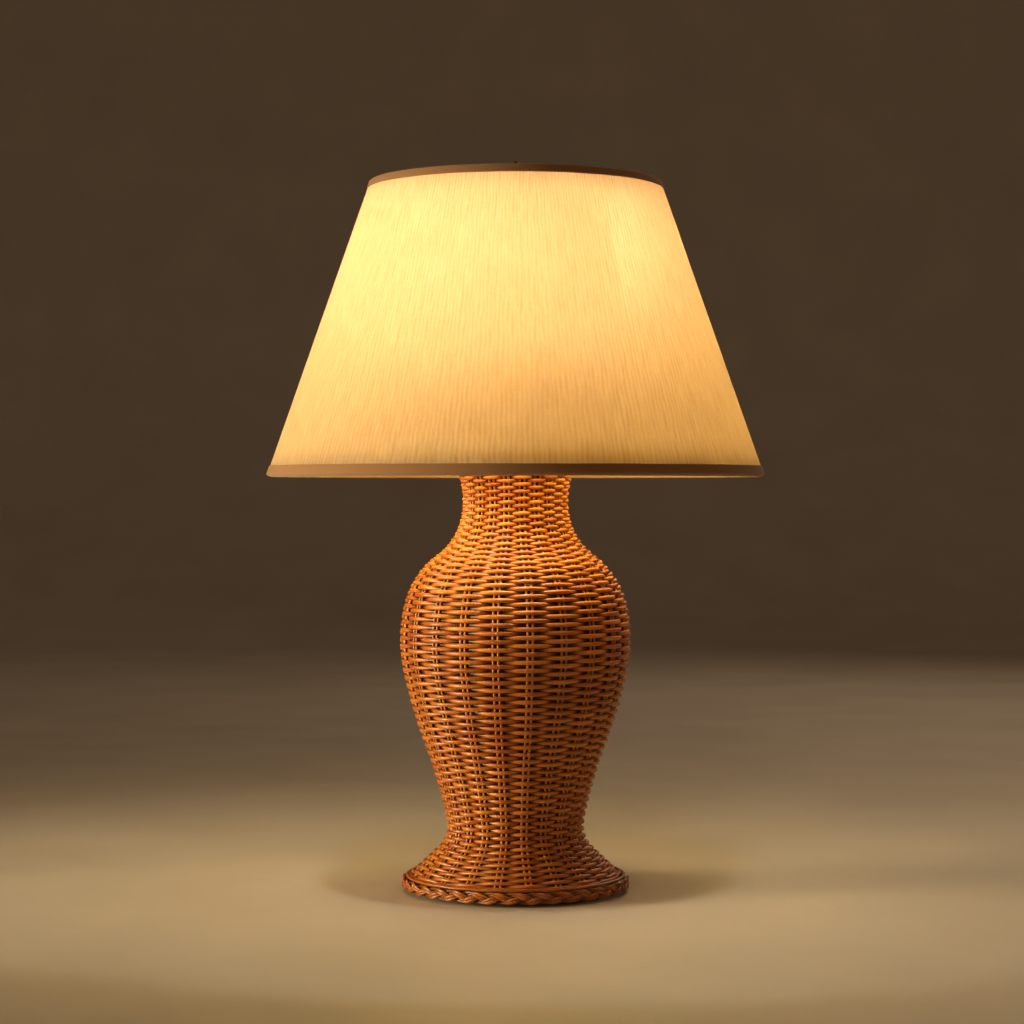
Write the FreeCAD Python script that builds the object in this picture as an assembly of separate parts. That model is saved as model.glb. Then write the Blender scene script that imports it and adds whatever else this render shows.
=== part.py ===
"""A table lamp: a woven cane body on a wooden foot, a socket with its bulb, a harp and a cone shade.

Millimetres, +Z up. The origin is the centre of the felt pad's underside. The harp stands in the X-Z plane,
the switch knob points towards -Y and the cord leaves towards +Y.
"""
import FreeCAD, Part
import math
import os

Vector = FreeCAD.Vector
CENTRE = Vector(0, 0, 0)
UP = Vector(0, 0, 1)
X_AXIS = Vector(1, 0, 0)
Y_AXIS = Vector(0, 1, 0)

# Play between turned pieces that only touch.
SLACK = 0.1

# Foot: felt pad, wooden plate, iron weight and the braided border round the plate.
FELT_RADIUS = 80.0
FELT_TOP = 2.0
PLATE_RADIUS = 84.0
PLATE_TOP = 12.0
RECESS_RADIUS = 16.0
RECESS_TOP = 9.0
WEIGHT_RADIUS = 50.0
WEIGHT_TOP = 32.0
BORDER_LOW = 1.0
BORDER_TOP = 13.0
BORDER_RADIUS = 94.5
BORDER_SHOULDER_RADIUS = 89.5

# Lamp pipe, 1/8 IP thread size.
PIPE_RADIUS = 4.8
PIPE_BORE_RADIUS = 3.25
PIPE_LOW = 3.8
PIPE_TOP = 392.0
PIPE_HOLE_RADIUS = PIPE_RADIUS + SLACK
NUT_FLATS = 14.0
NUT_HEIGHT = 3.5
PIPE_WASHER_RADIUS = 11.0
PIPE_WASHER_HEIGHT = 1.2

# Cord bushing through the back of the foot.
CORD_Z = 7.0
CORD_HOLE_RADIUS = 3.0
CORD_CHANNEL_RADIUS = 3.25
BUSHING_RADIUS = 4.5
BUSHING_START = 72.0
BUSHING_FLANGE_RADIUS = 6.5
BUSHING_FLANGE_START = BORDER_RADIUS + SLACK
BUSHING_END = BUSHING_FLANGE_START + 2.2

# Woven body: its outside is a chain of tangent arcs, each a signed radius and a signed turn in degrees.
# A positive turn is to the left of the direction of travel, which climbs from the foot to the neck.
BODY_START = (89.18, 13.74)
BODY_HEADING = 140.36
BODY_ARCS = [
    (-339.7, -6.1),
    (-20.3, -55.6),
    (-385.1, -9.4),
    (424.0, 8.7),
    (122.8, 26.9),
    (72.2, 39.0),
    (-48.3, -43.8),
    (-62.9, -35.5),
]
WEAVE_THICKNESS = 8.6
WEAVER_LAYER = 3.0
WEAVE_BANDS = 25
STAKE_RADIUS = 1.1
STAKE_PAIRS = 21
STAKE_HALF_SPACING = 2.0
STAKE_TURN = 88.8

# Neck: rolled border, wooden plug, brass cap and spacer tube.
NECK_BORDER_RADIUS = 4.6
PLUG_LOW = 337.0
PLUG_RADIUS = 37.5
PLUG_FLANGE_LOW = 349.0
PLUG_FLANGE_RADIUS = 43.6
PLUG_TOP = 352.0
CAP_RADIUS = 24.0
CAP_TOP = 359.0
CAP_WALL = 1.2
TUBE_RADIUS = 7.0
SADDLE_LOW = 379.0

# Harp saddle and harp.
SADDLE_THICKNESS = 1.5
SADDLE_TOP = SADDLE_LOW + SADDLE_THICKNESS
SADDLE_WIDTH = 13.0
SADDLE_POST_X = 28.5
SADDLE_END_X = 34.0
SADDLE_POST_RADIUS = 1.6
SADDLE_POST_TOP = 391.0
HARP_WIRE_RADIUS = 2.0
HARP_LOW = SADDLE_TOP + SLACK
HARP_TOP = 558.5
HARP_HALF_WIDTH = 55.0
HARP_FLAT = 16.0
HARP_FLARE = 26.0
HARP_FLARE_RADIUS = 40.0
HARP_SIDE_RADIUS = 90.0
HARP_CORNER = 60.0
FERRULE_RADIUS = 3.0
FERRULE_TOP = 393.0
FERRULE_BORE_RADIUS = SADDLE_POST_RADIUS + 0.15
FERRULE_BORE_TOP = SADDLE_POST_TOP + 0.5
EYE_RADIUS = 6.5
SLEEVE_RADIUS = 4.6
SLEEVE_NECK_RADIUS = 4.0
SLEEVE_BORE_RADIUS = 3.3
SLEEVE_TOP = 395.0
STUD_RADIUS = 3.1
STUD_HOLE_RADIUS = STUD_RADIUS + 0.05
STUD_HEAD_RADIUS = 4.5
STUD_HEAD_HEIGHT = 1.4
STUD_TOP = 571.0
HARP_WASHER_RADIUS = 10.0
HARP_WASHER_TOP = 562.0

# Socket: cap, shell, cardboard liner, moulded body and contacts.
SOCKET_LOW = 384.0
SOCKET_HUB_RADIUS = 7.5
SOCKET_HUB_TOP = 391.0
SOCKET_CUP_RADIUS = 17.4
SOCKET_CUP_TOP = 405.0
SOCKET_WALL = 0.6
SOCKET_SHELL_RADIUS = 16.5
SOCKET_SHELL_LOW = 399.5
SOCKET_SHELL_TOP = 446.0
SOCKET_BEAD_Z = 421.0
LINER_RADIUS = 15.8
LINER_WALL = 0.4
INSULATOR_RADIUS = 15.2
INSULATOR_LOW = 400.0
INSULATOR_TOP = 418.0
SCREW_SHELL_RADIUS = 13.6
SCREW_SHELL_BORE = 13.1
SCREW_SHELL_TOP = 444.0
CONTACT_RADIUS = 3.5
CONTACT_TOP = INSULATOR_TOP + 1.0
SET_SCREW_Z = 387.5
SET_SCREW_RADIUS = 1.5
SET_SCREW_HEAD_RADIUS = 2.7
SET_SCREW_HEAD_HEIGHT = 1.6
TERMINAL_Z = 407.0
TERMINAL_X = 10.0
TERMINAL_SHANK_RADIUS = 1.4
TERMINAL_SHANK_LENGTH = 5.0
TERMINAL_HEAD_RADIUS = 2.8
TERMINAL_HEAD_HEIGHT = 2.0
TERMINAL_POCKET_WIDTH = 8.0
TERMINAL_POCKET_HEIGHT = 9.0

# Rotary switch.
SWITCH_Z = 411.5
SWITCH_SHAFT_RADIUS = 2.5
SWITCH_SHAFT_START = 7.5
SWITCH_SHAFT_END = 38.0
SWITCH_HOLE_RADIUS = SWITCH_SHAFT_RADIUS + 0.8
KNOB_START = 21.0
KNOB_END = 43.0
KNOB_RADIUS = 6.0
KNOB_ROUNDING = 1.5
KNOB_COLLAR = 3.0
KNOB_FLUTES = 12
KNOB_FLUTE_RADIUS = 0.7

# Bulb with a medium screw cap.
BULB_LOW = CONTACT_TOP + SLACK
BULB_CAP_RADIUS = 12.9
BULB_CAP_WALL = 0.4
BULB_CAP_LOW = 424.0
BULB_CAP_TOP = 447.0
BULB_TIP_HEIGHT = 1.5
GLASS_LOW = BULB_CAP_TOP + 2 * SLACK
GLASS_NECK_RADIUS = 13.0
GLASS_NECK_LENGTH = 4.0
GLASS_SHOULDER_RADIUS = 45.0
GLASS_RADIUS = 30.0
GLASS_WALL = 0.8
STEM_RADIUS = 2.5
STEM_TOP = 480.0
STEM_FLARE_HEIGHT = 12.0
FILAMENT_RADIUS = 0.4
FILAMENT_LOOP_RADIUS = 11.0
FILAMENT_Z = 494.0

# Shade: a cone between two wire rings. Measured at the outer corners of its edge trims.
SHADE_LOW_RADIUS = 203.2
SHADE_LOW = 338.6
SHADE_TOP_RADIUS = 119.5
SHADE_TOP = 577.4
TRIM_WALL = 1.4
TRIM_LOW_HEIGHT = 8.8
TRIM_TOP_HEIGHT = 7.4
TRIM_TURN_IN = 6.5
FABRIC_WALL = 0.8
SHADE_LINER_WALL = 0.8
RING_WIRE_RADIUS = 1.6
FABRIC_IN = TRIM_WALL + SLACK
SHADE_LINER_IN = FABRIC_IN + FABRIC_WALL + SLACK
RING_IN = SHADE_LINER_IN + SHADE_LINER_WALL + SLACK + RING_WIRE_RADIUS
RING_ALONG = TRIM_WALL + RING_WIRE_RADIUS
TURN_IN = RING_IN + RING_WIRE_RADIUS + TRIM_WALL
SPIDER_WASHER_LOW = HARP_WASHER_TOP + SLACK
SPIDER_WASHER_HEIGHT = 1.8
SPIDER_WASHER_RADIUS = 14.0
SPIDER_ARM_START = 12.0
SPIDER_HOLE_RADIUS = 3.4
SPIDER_ARM_RADIUS = 1.5
SPIDER_BEND_RADIUS = 30.0
SPIDER_ARM_ANGLES = (90.0, 210.0, 330.0)

# Finial.
FINIAL_LOW = SPIDER_WASHER_LOW + SPIDER_WASHER_HEIGHT + SLACK
FINIAL_BASE_RADIUS = 6.5
FINIAL_BASE_TOP = 573.0
FINIAL_BORE_TOP = 571.8
FINIAL_FLANGE_HEIGHT = 2.0
FINIAL_COLLAR_RADIUS = 4.4
FINIAL_COLLAR_HEIGHT = 1.2
FINIAL_GROOVE_RADIUS = 3.0
FINIAL_GROOVE_HEIGHT = 2.4
FINIAL_BALL_RADIUS = 7.2
FINIAL_BALL_HEIGHT = 10.4
FINIAL_NECK_RADIUS = 3.4
FINIAL_TIP = 594.4
FINIAL_TIP_RADIUS = 2.0

SLOPE_LENGTH = math.hypot(SHADE_LOW_RADIUS - SHADE_TOP_RADIUS, SHADE_TOP - SHADE_LOW)
SLOPE_IN = (SHADE_LOW_RADIUS - SHADE_TOP_RADIUS) / SLOPE_LENGTH
SLOPE_UP = (SHADE_TOP - SHADE_LOW) / SLOPE_LENGTH


def tube(inner, outer, low, high):
    """An upright tube about the lamp's axis, or a disc with a hole."""
    wall = Part.makeCylinder(outer, high - low, Vector(0, 0, low))
    return wall.cut(Part.makeCylinder(inner, high - low, Vector(0, 0, low)))


def rod(radius, start, direction, length):
    """A round rod from a point along a direction."""
    return Part.makeCylinder(radius, length, start, direction)


def outline(start, steps):
    """A closed wire in the X-Z plane. A step is a point, or an arc as (middle point, end point)."""
    edges = []
    here = Vector(start[0], 0, start[1])
    first = here
    for step in steps:
        if isinstance(step[0], tuple):
            middle = Vector(step[0][0], 0, step[0][1])
            there = Vector(step[1][0], 0, step[1][1])
            edges.append(Part.Arc(here, middle, there).toShape())
        else:
            there = Vector(step[0], 0, step[1])
            edges.append(Part.LineSegment(here, there).toShape())
        here = there
    edges.append(Part.LineSegment(here, first).toShape())
    return Part.Wire(edges)


def turned(start, steps):
    """A solid of revolution about the lamp's axis from a closed outline."""
    return Part.Face(outline(start, steps)).revolve(CENTRE, UP, 360)


def hex_nut(flats, low, height):
    """A hexagonal nut on the lamp pipe."""
    corner = flats / math.sqrt(3)
    corners = [
        Vector(corner * math.cos(math.radians(60 * i)), corner * math.sin(math.radians(60 * i)), low)
        for i in range(7)
    ]
    blank = Part.Face(Part.makePolygon(corners)).extrude(Vector(0, 0, height))
    return blank.cut(rod(PIPE_HOLE_RADIUS, Vector(0, 0, low), UP, height))


def track(start, heading, moves, offset=0.0):
    """Tangent edges in the X-Z plane, moved sideways to the right of travel by an offset.

    Each move is an arc, as a signed radius and a signed turn in degrees, or a straight, as a length and 0.
    """
    angle = math.radians(heading)
    here = Vector(start[0] + offset * math.sin(angle), 0, start[1] - offset * math.cos(angle))
    edges = []
    for size, turn in moves:
        if turn == 0:
            there = here + Vector(size * math.cos(angle), 0, size * math.sin(angle))
            edges.append(Part.LineSegment(here, there).toShape())
        else:
            radius = size + offset
            pivot = here + Vector(-radius * math.sin(angle), 0, radius * math.cos(angle))
            half = math.radians(turn) / 2
            middle = pivot + Vector(radius * math.sin(angle + half), 0, -radius * math.cos(angle + half))
            angle += 2 * half
            there = pivot + Vector(radius * math.sin(angle), 0, -radius * math.cos(angle))
            edges.append(Part.Arc(here, middle, there).toShape())
        here = there
    return edges


def start_of(edge):
    return edge.valueAt(edge.FirstParameter)


def end_of(edge):
    return edge.valueAt(edge.LastParameter)


def swept(edges, radius):
    """A round wire along tangent edges."""
    direction = edges[0].tangentAt(edges[0].FirstParameter)
    section = Part.Wire([Part.makeCircle(radius, start_of(edges[0]), direction)])
    return Part.Wire(edges).makePipeShell([section], True, False)


def body_track(offset):
    """The woven wall's profile, at a distance outwards from the middle of its thickness."""
    return track(BODY_START, BODY_HEADING, BODY_ARCS, offset - WEAVE_THICKNESS / 2)


def body_end(offset):
    return end_of(body_track(offset)[-1])


def above(shape, level):
    """The part of a shape above a level."""
    return shape.cut(rod(2 * BORDER_RADIUS, Vector(0, 0, level - 2 * BORDER_TOP), UP, 2 * BORDER_TOP))


def weave_layer(inner, outer):
    """One layer of weavers as a closed shell of revolution between two offsets."""
    inside = body_track(inner)
    outside = body_track(outer)
    low_edge = Part.LineSegment(start_of(inside[0]), start_of(outside[0])).toShape()
    top_edge = Part.LineSegment(end_of(inside[-1]), end_of(outside[-1])).toShape()
    wire = Part.Wire(Part.__sortEdges__(outside + [top_edge] + inside + [low_edge]))
    return above(Part.Face(wire).revolve(CENTRE, UP, 360), BORDER_TOP)


def weave_bands(inner, outer):
    """One layer of weavers as a stack of closed rings of equal height."""
    layer = weave_layer(inner, outer)
    band_height = (body_end(0).z + WEAVE_THICKNESS / 2 - BORDER_TOP) / WEAVE_BANDS
    bands = []
    for i in range(WEAVE_BANDS):
        slab = rod(2 * BORDER_RADIUS, Vector(0, 0, BORDER_TOP + i * band_height), UP, band_height)
        bands += layer.common(slab).Solids
    return Part.makeCompound(bands)


def stakes():
    """Pairs of upright stakes in the middle of the woven wall."""
    stake = above(swept(body_track(0), STAKE_RADIUS), BORDER_TOP)
    copies = []
    for pair in range(STAKE_PAIRS):
        for side in (-1, 1):
            copy = stake.copy()
            copy.translate(Vector(0, side * STAKE_HALF_SPACING, 0))
            copy.rotate(CENTRE, UP, 360 * pair / STAKE_PAIRS + STAKE_TURN)
            copies.append(copy)
    return Part.makeCompound(copies)


def bushing_hole(start, end):
    return rod(BUSHING_RADIUS + SLACK / 2, Vector(0, start, CORD_Z), Y_AXIS, end - start)


def foot_border():
    """The braided border round the wooden plate."""
    middle_z = (BORDER_LOW + BORDER_TOP) / 2
    ring = turned(
        (PLATE_RADIUS, BORDER_LOW),
        [
            (BORDER_SHOULDER_RADIUS, BORDER_LOW),
            ((BORDER_RADIUS, middle_z), (BORDER_SHOULDER_RADIUS, BORDER_TOP)),
            (PLATE_RADIUS, BORDER_TOP),
        ],
    )
    return ring.cut(bushing_hole(BUSHING_START, BUSHING_END))


def base_plate():
    """Wooden plate with a recess under it and a channel for the cord."""
    plate = tube(PIPE_HOLE_RADIUS, PLATE_RADIUS, FELT_TOP, PLATE_TOP)
    recess = rod(RECESS_RADIUS, Vector(0, 0, FELT_TOP), UP, RECESS_TOP - FELT_TOP)
    channel = rod(CORD_CHANNEL_RADIUS, Vector(0, 0, CORD_Z), Y_AXIS, BUSHING_START)
    return plate.cut(recess).cut(channel).cut(bushing_hole(BUSHING_START, PLATE_RADIUS + 1))


def cord_bushing():
    """Flanged bushing that the cord passes through."""
    barrel = rod(BUSHING_RADIUS, Vector(0, BUSHING_START, CORD_Z), Y_AXIS, BUSHING_END - BUSHING_START)
    flange = rod(
        BUSHING_FLANGE_RADIUS,
        Vector(0, BUSHING_FLANGE_START, CORD_Z),
        Y_AXIS,
        BUSHING_END - BUSHING_FLANGE_START,
    )
    hole = rod(CORD_HOLE_RADIUS, Vector(0, BUSHING_START, CORD_Z), Y_AXIS, BUSHING_END - BUSHING_START)
    return barrel.fuse(flange).cut(hole).removeSplitter()


def neck_border():
    """The rolled rim that closes the weave at the neck."""
    low = body_end(-WEAVE_THICKNESS / 2)
    high = body_end(WEAVE_THICKNESS / 2)
    middle = (low + high) / 2
    along = (low - high).cross(Y_AXIS).normalize()
    if along.z < 0:
        along = -along
    centre = middle + along * (NECK_BORDER_RADIUS + SLACK)
    return Part.makeTorus(centre.x, NECK_BORDER_RADIUS, Vector(0, 0, centre.z))


def neck_plug():
    """Turned wooden plug that fills the neck and carries the brass cap."""
    lower = tube(PIPE_HOLE_RADIUS, PLUG_RADIUS, PLUG_LOW, PLUG_FLANGE_LOW)
    flange = tube(PIPE_HOLE_RADIUS, PLUG_FLANGE_RADIUS, PLUG_FLANGE_LOW, PLUG_TOP)
    return lower.fuse(flange).removeSplitter()


def vase_cap():
    """Spun brass cap: a shallow dome with a flat seat for the spacer tube."""
    hole = PIPE_HOLE_RADIUS
    seat = TUBE_RADIUS
    bulge = (0.75 * CAP_RADIUS, PLUG_TOP + 0.72 * (CAP_TOP - PLUG_TOP))
    inner_bulge = (bulge[0] - 0.5 * CAP_WALL, bulge[1] - CAP_WALL)
    return turned(
        (CAP_RADIUS, PLUG_TOP),
        [
            (bulge, (seat, CAP_TOP)),
            (hole, CAP_TOP),
            (hole, CAP_TOP - CAP_WALL),
            (seat - 0.2 * CAP_WALL, CAP_TOP - CAP_WALL),
            (inner_bulge, (CAP_RADIUS - CAP_WALL, PLUG_TOP)),
        ],
    )


def harp_saddle():
    """Flat strap with rounded ends and an upright post near each end."""
    straight = SADDLE_END_X - SADDLE_WIDTH / 2
    strap = Part.makeBox(
        2 * straight, SADDLE_WIDTH, SADDLE_THICKNESS, Vector(-straight, -SADDLE_WIDTH / 2, SADDLE_LOW)
    )
    for side in (-1, 1):
        end = rod(SADDLE_WIDTH / 2, Vector(side * straight, 0, SADDLE_LOW), UP, SADDLE_THICKNESS)
        post = rod(
            SADDLE_POST_RADIUS,
            Vector(side * SADDLE_POST_X, 0, SADDLE_LOW),
            UP,
            SADDLE_POST_TOP - SADDLE_LOW,
        )
        strap = strap.fuse(end).fuse(post)
    return strap.cut(rod(PIPE_HOLE_RADIUS, Vector(0, 0, SADDLE_LOW), UP, SADDLE_THICKNESS)).removeSplitter()


def harp_moves():
    """The harp's centre line from its right foot over the top to its left foot."""
    flare = math.radians(HARP_FLARE)
    corner = math.radians(HARP_CORNER)
    side_in = HARP_SIDE_RADIUS * (1 - math.sin(corner))
    corner_radius = (HARP_HALF_WIDTH - HARP_FLAT / 2 - side_in) / math.sin(corner)
    flared_x = HARP_HALF_WIDTH - HARP_SIDE_RADIUS * (1 - math.cos(flare))
    flare_width = HARP_FLARE_RADIUS * (1 - math.cos(flare))
    straight = (flared_x - flare_width - SADDLE_POST_X) / math.sin(flare)
    rise = HARP_FLARE_RADIUS * math.sin(flare) + straight * math.cos(flare)
    rise += HARP_SIDE_RADIUS * (math.sin(flare) + math.cos(corner))
    rise += corner_radius * (1 - math.cos(corner))
    leg = HARP_TOP - HARP_LOW - rise
    half = [
        (leg, 0),
        (-HARP_FLARE_RADIUS, -HARP_FLARE),
        (straight, 0),
        (HARP_SIDE_RADIUS, HARP_FLARE + 90 - HARP_CORNER),
        (corner_radius, HARP_CORNER),
    ]
    return half + [(HARP_FLAT, 0)] + half[::-1]


def harp_bow():
    """Bent wire with a ferrule on each foot and an eye at the top."""
    bow = swept(track((SADDLE_POST_X, HARP_LOW), 90, harp_moves()), HARP_WIRE_RADIUS)
    eye = rod(EYE_RADIUS, Vector(0, 0, HARP_TOP - HARP_WIRE_RADIUS), UP, 2 * HARP_WIRE_RADIUS)
    bow = bow.fuse(eye)
    for side in (-1, 1):
        foot = Vector(side * SADDLE_POST_X, 0, HARP_LOW)
        bow = bow.fuse(rod(FERRULE_RADIUS, foot, UP, FERRULE_TOP - HARP_LOW))
        bow = bow.cut(rod(FERRULE_BORE_RADIUS, foot, UP, FERRULE_BORE_TOP - HARP_LOW))
    return bow.cut(rod(STUD_HOLE_RADIUS, Vector(0, 0, HARP_TOP - EYE_RADIUS), UP, 2 * EYE_RADIUS))


def sleeve(side):
    """Tapered sleeve that locks one harp foot to the saddle."""
    shape = turned(
        (SLEEVE_BORE_RADIUS, HARP_LOW),
        [
            (SLEEVE_RADIUS, HARP_LOW),
            (SLEEVE_RADIUS, HARP_LOW + 0.6 * (SLEEVE_TOP - HARP_LOW)),
            (SLEEVE_NECK_RADIUS, SLEEVE_TOP),
            (SLEEVE_BORE_RADIUS, SLEEVE_TOP),
        ],
    )
    shape.translate(Vector(side * SADDLE_POST_X, 0, 0))
    return shape


def harp_stud():
    """Riveted stud that takes the finial."""
    head_top = HARP_TOP - HARP_WIRE_RADIUS
    head = rod(STUD_HEAD_RADIUS, Vector(0, 0, head_top - STUD_HEAD_HEIGHT), UP, STUD_HEAD_HEIGHT)
    shank = rod(STUD_RADIUS, Vector(0, 0, head_top), UP, STUD_TOP - head_top)
    return head.fuse(shank).removeSplitter()


def socket_cap():
    """Cup with a hub that screws on to the lamp pipe."""
    wall = SOCKET_WALL
    floor_z = SOCKET_HUB_TOP
    bend = (0.82 * SOCKET_CUP_RADIUS, floor_z + 2.4)
    inner_bend = (bend[0] - wall, bend[1] + wall)
    cup = turned(
        (PIPE_HOLE_RADIUS, SOCKET_LOW),
        [
            (SOCKET_HUB_RADIUS, SOCKET_LOW),
            (SOCKET_HUB_RADIUS, floor_z),
            (bend, (SOCKET_CUP_RADIUS, SOCKET_SHELL_LOW)),
            (SOCKET_CUP_RADIUS, SOCKET_CUP_TOP),
            (SOCKET_CUP_RADIUS - wall, SOCKET_CUP_TOP),
            (SOCKET_CUP_RADIUS - wall, SOCKET_SHELL_LOW),
            (inner_bend, (SOCKET_HUB_RADIUS, floor_z + 2 * wall)),
            (PIPE_HOLE_RADIUS, floor_z + 2 * wall),
        ],
    )
    screw_hole = rod(SET_SCREW_RADIUS + SLACK / 2, Vector(0, 0, SET_SCREW_Z), X_AXIS, SOCKET_HUB_RADIUS + 1)
    return cup.cut(screw_hole)


def socket_set_screw():
    """Small screw that locks the socket cap on the pipe."""
    start = Vector(PIPE_RADIUS + SLACK, 0, SET_SCREW_Z)
    shank = rod(SET_SCREW_RADIUS, start, X_AXIS, SOCKET_HUB_RADIUS - PIPE_RADIUS)
    head_start = Vector(SOCKET_HUB_RADIUS + SLACK / 2, 0, SET_SCREW_Z)
    head = rod(SET_SCREW_HEAD_RADIUS, head_start, X_AXIS, SET_SCREW_HEAD_HEIGHT)
    return shank.fuse(head).removeSplitter()


def switch_hole(radius, start, end):
    """A hole for the switch shaft between two distances from the lamp's axis."""
    return rod(radius, Vector(0, -start, SWITCH_Z), -Y_AXIS, end - start)


def socket_shell():
    """Thin shell with a pressed bead and a rolled mouth."""
    radius = SOCKET_SHELL_RADIUS
    bore = radius - SOCKET_WALL
    bead = SOCKET_WALL
    shell = turned(
        (bore, SOCKET_SHELL_LOW),
        [
            (radius, SOCKET_SHELL_LOW),
            (radius, SOCKET_BEAD_Z - 2 * bead),
            ((radius + bead, SOCKET_BEAD_Z), (radius, SOCKET_BEAD_Z + 2 * bead)),
            (radius, SOCKET_SHELL_TOP - 3 * bead),
            ((radius + bead, SOCKET_SHELL_TOP - 1.5 * bead), (radius, SOCKET_SHELL_TOP)),
            (bore, SOCKET_SHELL_TOP),
        ],
    )
    return shell.cut(switch_hole(SWITCH_HOLE_RADIUS, 0, radius + 1))


def socket_liner():
    """Cardboard tube between the shell and the moulded body."""
    liner = tube(LINER_RADIUS - LINER_WALL, LINER_RADIUS, SOCKET_SHELL_LOW + 1, SOCKET_SHELL_TOP - 1)
    return liner.cut(switch_hole(SWITCH_HOLE_RADIUS, 0, LINER_RADIUS + 1))


def terminal_screw(side):
    """Binding screw on one side of the moulded body."""
    outwards = X_AXIS * side
    seat = Vector(side * TERMINAL_X, 0, TERMINAL_Z)
    head = rod(TERMINAL_HEAD_RADIUS, seat, outwards, TERMINAL_HEAD_HEIGHT)
    shank = rod(TERMINAL_SHANK_RADIUS, seat, -outwards, TERMINAL_SHANK_LENGTH)
    return shank.fuse(head).removeSplitter()


def terminal_screws():
    return Part.makeCompound([terminal_screw(side) for side in (-1, 1)])


def socket_body():
    """Moulded block that holds the switch and carries the screw shell."""
    height = INSULATOR_TOP - INSULATOR_LOW
    block = rod(INSULATOR_RADIUS, Vector(0, 0, INSULATOR_LOW), UP, height)
    block = block.cut(
        switch_hole(SWITCH_SHAFT_RADIUS + SLACK, SWITCH_SHAFT_START - SLACK, INSULATOR_RADIUS + 1)
    )
    pocket = Part.makeBox(
        INSULATOR_RADIUS,
        TERMINAL_POCKET_WIDTH,
        TERMINAL_POCKET_HEIGHT,
        Vector(TERMINAL_X, -TERMINAL_POCKET_WIDTH / 2, TERMINAL_Z - TERMINAL_POCKET_HEIGHT / 2),
    )
    block = block.cut(pocket)
    pocket.rotate(CENTRE, UP, 180)
    return block.cut(pocket).cut(terminal_screws())


def screw_shell():
    """Threaded brass shell, drawn as a plain cup."""
    wall = tube(SCREW_SHELL_BORE, SCREW_SHELL_RADIUS, INSULATOR_TOP, SCREW_SHELL_TOP)
    floor = tube(2 * CONTACT_RADIUS, SCREW_SHELL_RADIUS, INSULATOR_TOP, INSULATOR_TOP + SOCKET_WALL)
    return wall.fuse(floor).removeSplitter()


def switch_shaft():
    return switch_hole(SWITCH_SHAFT_RADIUS, SWITCH_SHAFT_START, SWITCH_SHAFT_END)


def switch_knob():
    """Fluted knob on the end of the switch shaft."""
    knob = switch_hole(KNOB_RADIUS, KNOB_START, KNOB_END)
    knob = knob.makeFillet(KNOB_ROUNDING, [edge for edge in knob.Edges if edge.Closed])
    for i in range(KNOB_FLUTES):
        angle = 2 * math.pi * i / KNOB_FLUTES
        x = KNOB_RADIUS * math.cos(angle)
        z = SWITCH_Z + KNOB_RADIUS * math.sin(angle)
        knob = knob.cut(rod(KNOB_FLUTE_RADIUS, Vector(x, -KNOB_START - KNOB_COLLAR, z), -Y_AXIS, KNOB_END))
    return knob.cut(switch_hole(SWITCH_SHAFT_RADIUS + SLACK / 2, 0, SWITCH_SHAFT_END + SLACK))


def bulb_insulator():
    """Glass button between the bulb's tip and its cap."""
    inside = BULB_CAP_RADIUS - BULB_CAP_WALL - SLACK
    low = BULB_LOW + BULB_TIP_HEIGHT
    return turned(
        (0, low),
        [
            (CONTACT_RADIUS + 1, low),
            (inside, BULB_CAP_LOW),
            (inside, BULB_CAP_LOW + 2),
            (0, BULB_CAP_LOW + 2),
        ],
    )


def bulb_profile(inset):
    """The bulb's outline from its neck to its top, at a distance inside the glass."""
    rise = math.sqrt(
        (GLASS_SHOULDER_RADIUS + GLASS_RADIUS) ** 2 - (GLASS_NECK_RADIUS + GLASS_SHOULDER_RADIUS) ** 2
    )
    turn = math.degrees(math.atan2(rise, GLASS_NECK_RADIUS + GLASS_SHOULDER_RADIUS))
    moves = [(GLASS_NECK_LENGTH, 0), (-GLASS_SHOULDER_RADIUS, -turn), (GLASS_RADIUS, 90 + turn)]
    return track((GLASS_NECK_RADIUS, GLASS_LOW), 90, moves, -inset)


def bulb_glass():
    """Hollow frosted envelope, open at the neck."""
    outside = bulb_profile(0)
    inside = bulb_profile(GLASS_WALL)
    rim = Part.LineSegment(start_of(outside[0]), start_of(inside[0])).toShape()
    crown = Part.LineSegment(end_of(outside[-1]), end_of(inside[-1])).toShape()
    wire = Part.Wire(Part.__sortEdges__(outside + [crown] + inside + [rim]))
    return Part.Face(wire).revolve(CENTRE, UP, 360)


def bulb_stem():
    """Glass stem that closes the neck and holds the filament."""
    neck = GLASS_NECK_RADIUS - GLASS_WALL - SLACK
    flare_top = GLASS_LOW + STEM_FLARE_HEIGHT
    return turned(
        (0, GLASS_LOW),
        [
            (neck, GLASS_LOW),
            (neck, GLASS_LOW + 2 * GLASS_WALL),
            ((2 * STEM_RADIUS, GLASS_LOW + STEM_FLARE_HEIGHT / 3), (STEM_RADIUS, flare_top)),
            (STEM_RADIUS, STEM_TOP),
            (0, STEM_TOP),
        ],
    )


def bulb_filament():
    """Two lead wires and the arched filament between them."""
    loop = FILAMENT_LOOP_RADIUS
    foot_z = STEM_TOP + FILAMENT_RADIUS
    arch = [
        Part.Arc(
            Vector(-loop, 0, FILAMENT_Z), Vector(0, 0, FILAMENT_Z + loop / 2), Vector(loop, 0, FILAMENT_Z)
        ).toShape()
    ]
    wire = swept(arch, FILAMENT_RADIUS)
    for side in (-1, 1):
        foot = Vector(side * (STEM_RADIUS - FILAMENT_RADIUS), 0, foot_z)
        tip = Vector(side * loop, 0, FILAMENT_Z)
        wire = wire.fuse(rod(FILAMENT_RADIUS, foot, tip - foot, (tip - foot).Length))
        wire = wire.fuse(Part.makeSphere(FILAMENT_RADIUS, tip))
        wire = wire.fuse(rod(FILAMENT_RADIUS, foot, Vector(-side, 0, 0), STEM_RADIUS - FILAMENT_RADIUS))
    return wire


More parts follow.
